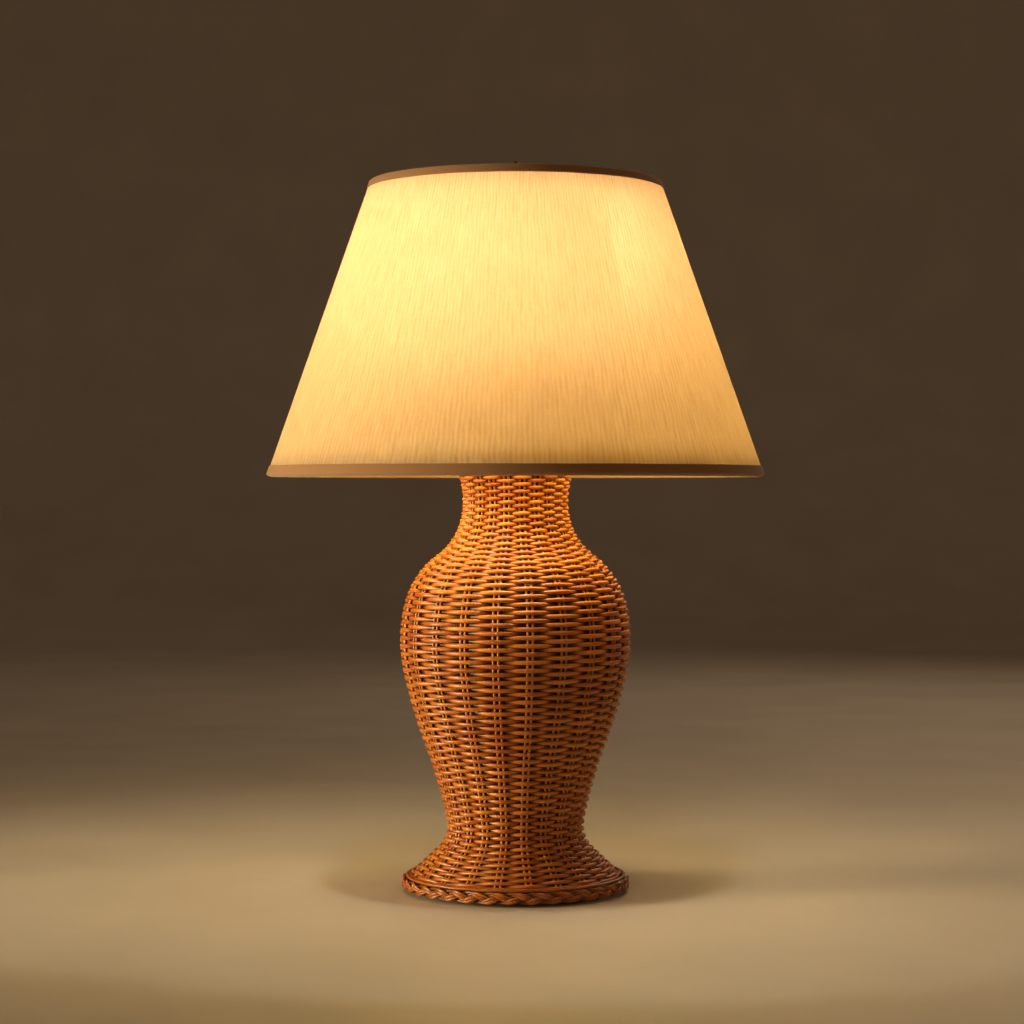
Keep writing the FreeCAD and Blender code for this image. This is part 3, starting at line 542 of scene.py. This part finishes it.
def linen():
    """Slubbed linen that lets the lamp's light through."""
    n = Nodes("shade_linen", Sheen_Weight=0.25, Sheen_Roughness=0.5)
    slub = n.noise(n.coords((330, 40, 1), "cloth"), 1.0, 4.0, 0.6)
    warp = n.wave(n.coords((1, 0.7, 1), "cloth"), 75.0, 3.5)
    weft = n.noise(n.coords((90, 900, 1), "cloth"), 1.0, 3.0, 0.7)
    patch = n.noise(n.coords((9, 9, 9)), 1.0, 3.0)
    threads = n.mix(0.2, n.mix(0.17, slub, warp), weft)
    dark, mid, light = (0.42, 0.33, 0.21), (0.54, 0.46, 0.33), (0.64, 0.56, 0.43)
    cloth = n.ramp(threads, [(0.32, dark), (0.5, mid), (0.68, light)])
    n.colour(n.mix(n.spread(patch, 0.0, 0.15), cloth, (0.55, 0.46, 0.33)))
    n.roughness(threads, 0.72, 0.92)
    normal = n.bump((threads, 0.5, 0.0005), (warp, 0.3, 0.0002))
    dim, warm, bright = (0.82, 0.69, 0.54), (0.89, 0.80, 0.69), (0.96, 0.91, 0.84)
    glow = n.ramp(threads, [(0.32, dim), (0.5, warm), (0.68, bright)])
    n.let_light_through(0.56, glow, normal)
    return n.material


def lining():
    """Pale styrene lining, milky and translucent."""
    n = Nodes("shade_lining", Roughness=0.45)
    cloud = n.noise(n.coords((30, 30, 30)), 1.0, 4.0)
    n.colour(n.ramp(cloud, [(0.3, (0.82, 0.77, 0.66)), (0.7, (0.93, 0.89, 0.80))]))
    n.bump((n.noise(n.coords((500, 500, 500)), 1.0, 2.0), 0.1, 0.0001))
    n.let_light_through(0.8, (1.0, 0.92, 0.80))
    return n.material


def tape():
    """Cotton bias tape, its threads at 45 degrees to the edge."""
    n = Nodes("shade_tape", Sheen_Weight=0.3, Sheen_Roughness=0.5)
    one = n.wave(n.coords((1, 1, 1), "cloth"), 420.0, 0.6, "DIAGONAL")
    other = n.wave(n.coords((1, -1, 1), "cloth"), 420.0, 0.6, "DIAGONAL")
    weave = n.mix(0.5, one, other)
    patch = n.noise(n.coords((70, 70, 70)), 1.0, 5.0)
    cloth = n.ramp(weave, [(0.2, (0.23, 0.112, 0.044)), (0.8, (0.39, 0.205, 0.092))])
    n.colour(n.mix(n.spread(patch, 0.0, 0.6), cloth, (0.30, 0.155, 0.066)))
    n.roughness(weave, 0.75, 0.95)
    n.bump((weave, 0.5, 0.0003), (patch, 0.35, 0.0008))
    return n.material


def frosted_glass():
    """Frosted envelope, lit by its filament."""
    n = Nodes("frosted_glass", Roughness=0.4, Base_Color=(1, 0.95, 0.86, 1), Emission_Strength=9.0)
    cloud = n.noise(n.coords((40, 40, 40)), 1.0, 3.0)
    glow = n.ramp(cloud, [(0.3, (1.0, 0.70, 0.36)), (0.7, (1.0, 0.78, 0.46))])
    n.link(glow, n.shader.inputs["Emission Color"])
    n.roughness(cloud, 0.35, 0.5)
    return n.material


def clear_glass():
    """Clear glass, slightly uneven."""
    n = Nodes("clear_glass", Transmission_Weight=1.0, IOR=1.5, Base_Color=(0.93, 0.97, 0.97, 1))
    n.roughness(n.noise(n.coords((80, 80, 80)), 1.0, 2.0), 0.02, 0.08)
    return n.material


def floor_material():
    """A plain pale floor with a faint mottle."""
    n = Nodes("pale_floor")
    mottle = n.noise(n.coords((6, 6, 6)), 1.0, 5.0)
    n.colour(n.ramp(mottle, [(0.3, (0.50, 0.46, 0.41)), (0.7, (0.56, 0.52, 0.47))]))
    n.roughness(mottle, 0.45, 0.6)
    return n.material


# ---------------------------------------------------------------- woven body


class Wall:
    """The middle of the woven wall as points spaced evenly from the foot to the neck."""

    def __init__(self, samples_per_arc=120):
        radii, heights, headings = [], [], []
        angle = math.radians(BODY_HEADING)
        offset = WEAVE_THICKNESS / 2
        r = BODY_START[0] * MM - offset * math.sin(angle)
        z = BODY_START[1] * MM + offset * math.cos(angle)
        for radius, turn in BODY_ARCS:
            bend = radius * MM - offset
            angles = angle + np.linspace(0, math.radians(turn), samples_per_arc)
            radii.append(r + bend * (np.sin(angles) - math.sin(angle)))
            heights.append(z - bend * (np.cos(angles) - math.cos(angle)))
            headings.append(angles)
            angle = angles[-1]
            r = radii[-1][-1]
            z = heights[-1][-1]
        self.r = np.concatenate(radii)
        self.z = np.concatenate(heights)
        self.heading = np.concatenate(headings)
        steps = np.hypot(np.diff(self.r), np.diff(self.z))
        self.s = np.concatenate([[0], np.cumsum(steps)])
        self.length = self.s[-1]

    def length_at(self, z):
        """Length along the wall where it reaches a height. It rises all the way."""
        return np.interp(z, self.z, self.s)

    def at(self, s):
        """Radius, height and outward normal (r, z) at lengths along the wall."""
        heading = np.interp(s, self.s, self.heading)
        radius = np.interp(s, self.s, self.r)
        height = np.interp(s, self.s, self.z)
        return radius, height, np.sin(heading), -np.cos(heading)


WALL = Wall()
FLOOR_OF_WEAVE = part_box("base_plate")[1].z


def shell_points(s, angle, lift):
    """Points on the wall at a length, an angle about the axis and a distance outwards, and their normals."""
    r, z, out_r, out_z = WALL.at(s)
    points = around(r + lift * out_r, angle, z + WAVE_LEAN * lift * out_z)
    return points, around(out_r, angle, out_z)


def row_pitch(s):
    """Distance between the rows of the weave at lengths along the wall."""
    return np.interp(s / WALL.length, PITCH_AT, PITCH) * MM


def weavers(material):
    """One long reed that spirals up, in front of one pair of stakes and behind the next."""
    waves_per_turn = STAKE_PAIRS / 2
    samples_per_turn = int(waves_per_turn * SAMPLES_PER_WAVE)
    s_values = [WALL.length_at(FLOOR_OF_WEAVE - WEAVE_START_SINK)]
    while s_values[-1] < WALL.length - WEAVE_END_GAP:
        s_values.append(s_values[-1] + row_pitch(s_values[-1]) / samples_per_turn)
    s = np.array(s_values)
    count = len(s)
    pitch = row_pitch(s)
    turns = np.arange(count) / samples_per_turn
    waves = turns * waves_per_turn
    half_waves = int(waves[-1] * 2) + 2

    lift = WAVE_DEPTH * (1 + WAVE_UNEVENNESS * drift(count, half_waves)) * np.cos(waves * TAU)
    _, height, _, out_z = WALL.at(s)
    lowest = FLOOR_OF_WEAVE + STRAND_HALF_DEPTH * pitch
    least_lift = (lowest - height) / np.maximum(out_z, FLARE_NORMAL_Z)
    lift = np.where(out_z > FLARE_NORMAL_Z, np.maximum(lift, least_lift), lift)
    wander = ROW_WANDER * drift(count, half_waves)
    thickness = 1 + STRAND_UNEVENNESS * drift(count, half_waves)
    tone = np.clip(WEAVE_TONE + WEAVE_TONE_RANGE * drift(count, half_waves // 2), 0, 1)
    swell = np.minimum(lift / WAVE_DEPTH, 1) ** 2
    half_height = pitch * thickness * (STRAND_HALF_HEIGHT + STRAND_SWELL * swell)
    half_depth = pitch * thickness * STRAND_HALF_DEPTH
    # Painted shade, deeper the further the weaver dips behind a stake.
    painted_shade = np.clip(WEAVE_PAINTED_SHADE - WEAVE_PAINTED_SHADE_GAIN * lift / WAVE_DEPTH, 0, 1)
    points, normals = shell_points(s + wander, turns * TAU + STAKE_TURN, lift)

    edges = np.linspace(0, count - 1, len(WEAVE_ZONES) + 1).astype(int)
    for zone, name in enumerate(WEAVE_ZONES):
        part = slice(edges[zone], edges[zone + 1] + 1)
        verts, faces, attributes = tube(
            points[part],
            normals[part],
            half_height[part],
            half_depth[part],
            STRAND_SIDES,
            closed=False,
            seed=zone,
            painted_shade=painted_shade[part],
            tone=tone[part],
        )
        mesh_object("weave_" + name, verts, faces, material, "lamp_body", attributes)
    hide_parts("weave_outer", "weave_inner")


def stakes(material):
    """Pairs of upright reeds in the middle of the wall."""
    start = WALL.length_at(FLOOR_OF_WEAVE + STAKE_RADIUS)
    s = np.linspace(start, WALL.length - STAKE_END_GAP, STAKE_SAMPLES)
    radius = WALL.at(s)[0]
    parts = []
    for pair in range(STAKE_PAIRS):
        middle = TAU * pair / STAKE_PAIRS + STAKE_TURN
        for side in (-1, 1):
            sway = STAKE_SWAY * drift(STAKE_SAMPLES, STAKE_BENDS)
            angle = middle + (side * STAKE_HALF_SPACING + sway) / radius
            points, normals = shell_points(s, angle, 0)
            reed = tube(
                points,
                normals,
                STAKE_RADIUS,
                STAKE_RADIUS,
                STAKE_SIDES,
                closed=False,
                seed=STAKE_SEED + 2 * pair + side,
                painted_shade=OPEN_PAINTED_SHADE,
                tone=RNG.uniform(*STAKE_TONES),
            )
            parts.append(reed)
    verts, faces, attributes = join(parts)
    piece = mesh_object("stake_reeds", verts, faces, material, "lamp_body", attributes)
    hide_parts("stakes")


def braid_strand(strand, angle, middle_z):
    """The reeds of one strand. It is in front on its way to the middle and behind on its way out."""
    phase = BRAID_PERIODS * angle + TAU * strand / BRAID_STRANDS
    reach = BRAID_HALF_HEIGHT * BRAID_FIRST_WAVE
    up = reach * (np.sin(phase) - np.sin(3 * phase) / 9)
    up_rate = reach * (np.cos(phase) - np.cos(3 * phase) / 3) * BRAID_PERIODS
    tilt = np.arctan2(up_rate, BRAID_RADIUS)
    out = -BRAID_DEPTH * np.sin(2 * phase)
    spread = 1 - BRAID_PINCH + BRAID_PINCH * np.abs(np.sin(2 * phase))
    reeds = []
    for reed in BRAID_REEDS:
        side = reed * BRAID_REED_SPACING * spread
        turn = angle - side * np.sin(tilt) / BRAID_RADIUS
        bulge = BRAID_UNEVENNESS * drift(len(angle) - 1, BRAID_LUMPS)
        bulge = np.append(bulge, bulge[0])
        reeds.append(
            tube(
                around(BRAID_RADIUS + out + bulge, turn, middle_z + up + side * np.cos(tilt)),
                around(1.0, turn, 0.0),
                BRAID_REED_HALF_HEIGHT * spread,
                BRAID_REED_HALF_DEPTH,
                STRAND_SIDES,
                closed=True,
                seed=BRAID_SEED + BRAID_STRANDS * strand + reed,
                # Painted shade where the strand goes behind the others.
                painted_shade=BRAID_PAINTED_SHADE * np.clip(0.5 - out / (2 * BRAID_DEPTH), 0, 1),
                tone=RNG.uniform(*BRAID_TONES),
            )
        )
    return reeds


def foot_braid(material):
    """A three-strand braid, each strand a flat bundle of reeds, and a plain rod that lies on top of it."""
    low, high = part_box("foot_border")
    angle = even(BRAID_PERIODS * BRAID_SAMPLES_PER_PERIOD)
    parts = []
    for strand in range(BRAID_STRANDS):
        parts += braid_strand(strand, angle, (low.z + high.z) / 2)
    rod_z = high.z - ROD_BELOW_TOP + ROD_WAVE * np.sin(STAKE_PAIRS * angle)
    rod = tube(
        around(ROD_RING_RADIUS, angle, rod_z),
        around(1.0, angle, 1.0),
        ROD_RADIUS,
        ROD_RADIUS,
        STRAND_SIDES,
        closed=True,
        seed=ROD_SEED,
        painted_shade=OPEN_PAINTED_SHADE,
        tone=ROD_TONE,
    )
    parts.append(rod)
    verts, faces, attributes = join(parts)
    piece = mesh_object("foot_braid", verts, faces, material, "lamp_body", attributes)
    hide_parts("foot_border")


def neck_rim(material):
    """The rolled rim: a core ring whipped all round with thin reed."""
    low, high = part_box("neck_border")
    half = (high.z - low.z) / 2
    ring_radius = high.x - half
    middle_z = (low.z + high.z) / 2
    wrap_radius = half - RIM_REED_RADIUS
    angle = even(RIM_WRAPS * RIM_SAMPLES_PER_WRAP)
    twist = RIM_WRAPS * angle
    wrap = tube(
        around(ring_radius + wrap_radius * np.cos(twist), angle, middle_z + wrap_radius * np.sin(twist)),
        around(np.cos(twist), angle, np.sin(twist)),
        RIM_REED_SPREAD * RIM_REED_RADIUS,
        RIM_REED_RADIUS,
        RIM_REED_SIDES,
        closed=True,
        seed=RIM_SEED,
        painted_shade=OPEN_PAINTED_SHADE,
        tone=np.clip(RIM_TONE + RIM_TONE_RANGE * drift(len(angle), RIM_WRAPS), 0, 1),
    )
    angle = even(RIM_CORE_SAMPLES)
    core = tube(
        around(ring_radius, angle, middle_z),
        around(1.0, angle, 0.0),
        wrap_radius,
        wrap_radius,
        RIM_CORE_SIDES,
        closed=True,
        seed=RIM_SEED + 1,
        # Painted shade on the core, which lies under the wraps.
        painted_shade=RIM_CORE_PAINTED_SHADE,
        tone=0.0,
    )
    verts, faces, attributes = join([wrap, core])
    piece = mesh_object("neck_rim", verts, faces, material, "lamp_body", attributes)
    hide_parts("neck_border")


# ---------------------------------------------------------------- shade

SLOPE = np.array(SHADE_TOP) - np.array(SHADE_LOW)
SLOPE_LENGTH = float(np.linalg.norm(SLOPE))
UP_SLOPE = SLOPE / SLOPE_LENGTH
INWARDS = np.array([-UP_SLOPE[1], UP_SLOPE[0]])


def slope_point(along, inwards):
    """(radius, height) at a distance up the shade's slope and a distance in from its trims."""
    return np.array(SHADE_LOW) + along * UP_SLOPE + inwards * INWARDS


def turned_skin(name, section, columns, material, ripple):
    """A closed skin of revolution from a section of (along, inwards) points, with a slight seeded ripple.

    The cloth attribute holds the length round the shade and the length along the section.
    """
    angle = even(columns)
    wander = np.zeros(columns)
    for harmonic in RIPPLE_HARMONICS:
        swing = RNG.uniform(0.3, 1.0) / math.sqrt(harmonic)
        wander += swing * np.sin(harmonic * angle + RNG.uniform(0, TAU))
    wander *= ripple / np.abs(wander).max()
    verts, cloth = [], []
    length = 0.0
    previous = section[0]
    for along, inwards in section:
        radius, height = slope_point(along, inwards)
        length += math.hypot(along - previous[0], inwards - previous[1])
        previous = (along, inwards)
        verts.append(around(radius + wander * UP_SLOPE[1], angle, height))
        cloth.append(np.stack([angle * SHADE_LOW[0], np.full(columns, length), np.zeros(columns)], axis=1))
    faces = grid_faces(len(section), columns, wrap_rows=True, wrap_cols=True)
    attributes = {"cloth": np.concatenate(cloth)}
    piece = mesh_object(name, np.concatenate(verts), faces, material, "shade", attributes)
    return piece


def layer_section(inwards, wall, rows):
    """A thin straight layer between the two folded edges."""
    along = np.linspace(TRIM_WALL, SLOPE_LENGTH - TRIM_WALL, rows)
    out = [(a, inwards) for a in along]
    back = [(a, inwards + wall) for a in along[::-1]]
    return out + back


def arc(centre, radius, start, end, steps=7):
    """Points of an arc in the section, with angles in degrees from the slope's upward direction."""
    angles = np.radians(np.linspace(start, end, steps))
    return [(centre[0] + radius * math.cos(a), centre[1] + radius * math.sin(a)) for a in angles]


def trim_section(height, at_top):
    """Tape folded round a rim and its ring, with a soft padded outer face."""
    wall = TRIM_WALL
    turn_in = RING_RADIUS + TRIM_SEAM
    outer = RING_RADIUS + wall
    ring = (RING_ALONG, RING_IN)
    section = arc((height - wall, wall), wall - TAPE_IN, 0, -90)
    section += [(a, TAPE_IN) for a in np.linspace(height - wall, wall, 6)[1:-1]]
    section += arc((wall, wall), wall - TAPE_IN, -90, -135, 4)
    section += [(0.0, wall)]
    section += arc(ring, outer, 180, 90)
    section += [(TRIM_TURN_IN, RING_IN + outer), (TRIM_TURN_IN, RING_IN + turn_in)]
    section += arc(ring, turn_in, 90, 180)
    section += [(RING_ALONG - turn_in, wall)]
    if at_top:
        section = [(SLOPE_LENGTH - along, inwards) for along, inwards in section]
    return section


def shade(cloth, inner, edging):
    """The linen, its lining and the tape round both rims."""
    layer = layer_section(FABRIC_IN, FABRIC_WALL, rows=40)
    skin = turned_skin("shade_linen_skin", layer, 360, cloth, LINEN_RIPPLE)
    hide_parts("shade_fabric")
    layer = layer_section(LINING_IN, LINING_WALL, rows=12)
    back = turned_skin("shade_lining_skin", layer, 240, inner, LINING_RIPPLE)
    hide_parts("shade_liner")
    fold = trim_section(TRIM_LOW_HEIGHT, at_top=False)
    low = turned_skin("shade_tape_bottom", fold, 540, edging, TAPE_RIPPLE)
    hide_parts("shade_trim_bottom")
    fold = trim_section(TRIM_TOP_HEIGHT, at_top=True)
    top = turned_skin("shade_tape_top", fold, 420, edging, TAPE_RIPPLE)
    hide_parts("shade_trim_top")


# ---------------------------------------------------------------- fittings


def paint(material, *names):
    """Gives CAD nodes that keep their shape a material of their own."""
    for name in names:
        mesh = NODES[name].data
        mesh.materials.clear()
        mesh.materials.append(material)


def fittings():
    """Materials of the pieces that keep their CAD shape: socket, harp, bulb, finial, base and wires."""
    brass = metal("aged_brass", (0.62, 0.44, 0.19), (0.30, 0.19, 0.08), 0.22, 0.42)
    steel = metal("zinc_steel", (0.62, 0.62, 0.60), (0.40, 0.39, 0.37), 0.28, 0.48)
    contact = metal("contact_brass", (0.80, 0.62, 0.30), (0.55, 0.38, 0.17), 0.15, 0.32)
    bronze = metal("dark_bronze", (0.115, 0.07, 0.035), (0.045, 0.028, 0.016), 0.30, 0.55)
    wire = metal("shade_wire", (0.80, 0.76, 0.68), (0.62, 0.57, 0.48), 0.35, 0.55, metallic=0.0)
    aluminium = metal("bulb_aluminium", (0.80, 0.80, 0.79), (0.58, 0.57, 0.55), 0.2, 0.4, grain=(60, 60, 900))
    paint(turned_wood(), "base_plate", "neck_plug")
    paint(cast_iron(), "base_weight")
    paint(felt(), "base_felt")
    paint(steel, "weight_nut", "lamp_pipe", "pipe_washer", "pipe_nut", "saddle_nut", "switch_shaft")
    paint(steel, "socket_set_screw")
    paint(brass, "vase_cap", "neck_tube", "harp_saddle", "socket_cap", "socket_shell", "harp_bow")
    paint(brass, "harp_washer", "harp_stud", "sleeve_left", "sleeve_right")
    paint(contact, "screw_shell", "center_contact", "terminal_screws")
    paint(bronze, "finial_base", "finial_knob")
    paint(wire, "shade_spider", "shade_top_ring", "shade_bottom_ring")
    paint(aluminium, "bulb_cap")
    paint(metal("solder_contact", (0.56, 0.55, 0.53), (0.36, 0.35, 0.33), 0.3, 0.5), "bulb_contact")
    paint(metal("tungsten", (0.38, 0.36, 0.33), (0.2, 0.19, 0.18), 0.3, 0.5), "bulb_filament")
    paint(moulded("black_bushing", (0.030, 0.030, 0.030), 0.5, 0.7), "cord_bushing")
    paint(moulded("liner_board", (0.24, 0.18, 0.13), 0.8, 0.95), "socket_liner")
    paint(moulded("phenolic", (0.05, 0.035, 0.030), 0.35, 0.55), "socket_body")
    paint(moulded("knob_plastic", (0.04, 0.030, 0.025), 0.25, 0.4, coat=0.4), "switch_knob")
    paint(moulded("black_glass", (0.02, 0.02, 0.025), 0.08, 0.2, coat=0.5), "bulb_insulator")
    paint(frosted_glass(), "bulb_glass")
    paint(clear_glass(), "bulb_stem")


# ---------------------------------------------------------------- room


def look(place, target):
    """Euler angles that point an object's -Z from one place at another."""
    return (Vector(target) - Vector(place)).to_track_quat("-Z", "Y").to_euler()


def area_light(name, place, size, power, colour, spread=math.pi):
    """A soft round light aimed at the lamp."""
    light = bpy.data.lights.new(name, "AREA")
    light.shape = "DISK"
    light.size = size
    light.energy = power
    light.color = colour
    light.spread = spread
    lamp = place_in_scene(name, light)
    lamp.location = place
    lamp.rotation_euler = look(place, AIM)


def point_light(name, place, radius, power, colour):
    """A small round light. Without soft falloff it isn't shaded by the bulb's glass that it fills."""
    light = bpy.data.lights.new(name, "POINT")
    light.shadow_soft_size = radius
    light.use_soft_falloff = False
    light.energy = power
    light.color = colour
    place_in_scene(name, light).location = place


def floor():
    """A pale floor that curves up into a wall behind the lamp."""
    rows = []
    for t in np.linspace(0, 1, 24):
        bend = max(0.0, t - FLAT_SHARE) / (1 - FLAT_SHARE) * math.pi / 2
        y = FLOOR_FRONT + FLOOR_LENGTH * min(t, FLAT_SHARE) / FLAT_SHARE + WALL_BEND * math.sin(bend)
        z = WALL_BEND * (1 - math.cos(bend))
        rows.append((y, z))
    rows.append((rows[-1][0], WALL_TOP))
    across = np.linspace(-FLOOR_HALF_WIDTH, FLOOR_HALF_WIDTH, 9)
    verts = [(x, y, z) for y, z in rows for x in across]
    faces = grid_faces(len(rows), len(across))
    place_in_scene("floor", smooth_mesh("floor", verts, faces, floor_material()))


def world():
    """Dim warm light from all round."""
    studio = bpy.data.worlds.new("studio")
    studio.use_nodes = True
    background = studio.node_tree.nodes["Background"]
    background.inputs["Color"].default_value = (1.0, 0.66, 0.40, 1)
    background.inputs["Strength"].default_value = 0.11
    bpy.context.scene.world = studio


def lights():
    """Three soft lights for the outside, and the light of the bulb inside the shade."""
    area_light("key", (-1.97, -0.38, 0.42), 0.8, 7.4, (1.0, 0.75, 0.40), math.radians(60))
    area_light("fill", (1.2, -2.3, 0.7), 1.6, 3.4, (1.0, 0.48, 0.16))
    area_light("back", (0.9, 2.0, 1.5), 1.4, 8, (1.0, 0.72, 0.46))
    low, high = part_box("bulb_glass")
    bulb_z = high.z - (high.x - low.x) / 2
    point_light("bulb_glow", (0, 0, bulb_z), 0.031, 0.6, (1.0, 0.68, 0.24))
    point_light("front_glow", (-0.010, -0.074, bulb_z - 0.006), SMALL_GLOW_RADIUS, 2.0, (1.0, 0.92, 0.78))
    for x, y, z in around(LOW_GLOW_RADIUS, even(LOW_GLOWS), LOW_GLOW_HEIGHT):
        point_light("low_glow", (x, y, z), SMALL_GLOW_RADIUS, 0.18, (1.0, 0.74, 0.10))


def camera():
    """Just under the level of the shade's lower rim, looking along +Y. Colours are shown unaltered."""
    data = bpy.data.cameras.new("camera")
    data.lens = CAMERA_LENS
    data.clip_end = CAMERA_REACH
    view = place_in_scene("camera", data)
    view.location = (0, -CAMERA_DISTANCE, CAMERA_HEIGHT)
    view.rotation_euler = (math.radians(90 - CAMERA_TILT), 0, math.radians(CAMERA_PAN))
    bpy.context.scene.camera = view
    bpy.context.scene.view_settings.view_transform = "Standard"


camera()
floor()
world()
lights()
# The last colour of each cane is painted shade, laid on where a reed lies in a hollow or behind another.
body_cane = cane(
    "varnished_cane",
    dark=(0.24, 0.050, 0.004),
    mid=(0.54, 0.160, 0.013),
    light=(0.85, 0.39, 0.060),
    painted_shade_colour=(0.05, 0.008, 0.001),
)
stake_cane = cane(
    "pale_cane",
    dark=(0.42, 0.15, 0.030),
    mid=(0.70, 0.33, 0.085),
    light=(0.88, 0.52, 0.19),
    painted_shade_colour=(0.08, 0.02, 0.004),
)
braid_cane = cane(
    "braided_cane",
    dark=(0.20, 0.044, 0.004),
    mid=(0.44, 0.13, 0.014),
    light=(0.70, 0.29, 0.050),
    painted_shade_colour=(0.05, 0.008, 0.001),
)
weavers(body_cane)
stakes(stake_cane)
foot_braid(braid_cane)
neck_rim(body_cane)
shade(linen(), lining(), tape())
fittings()
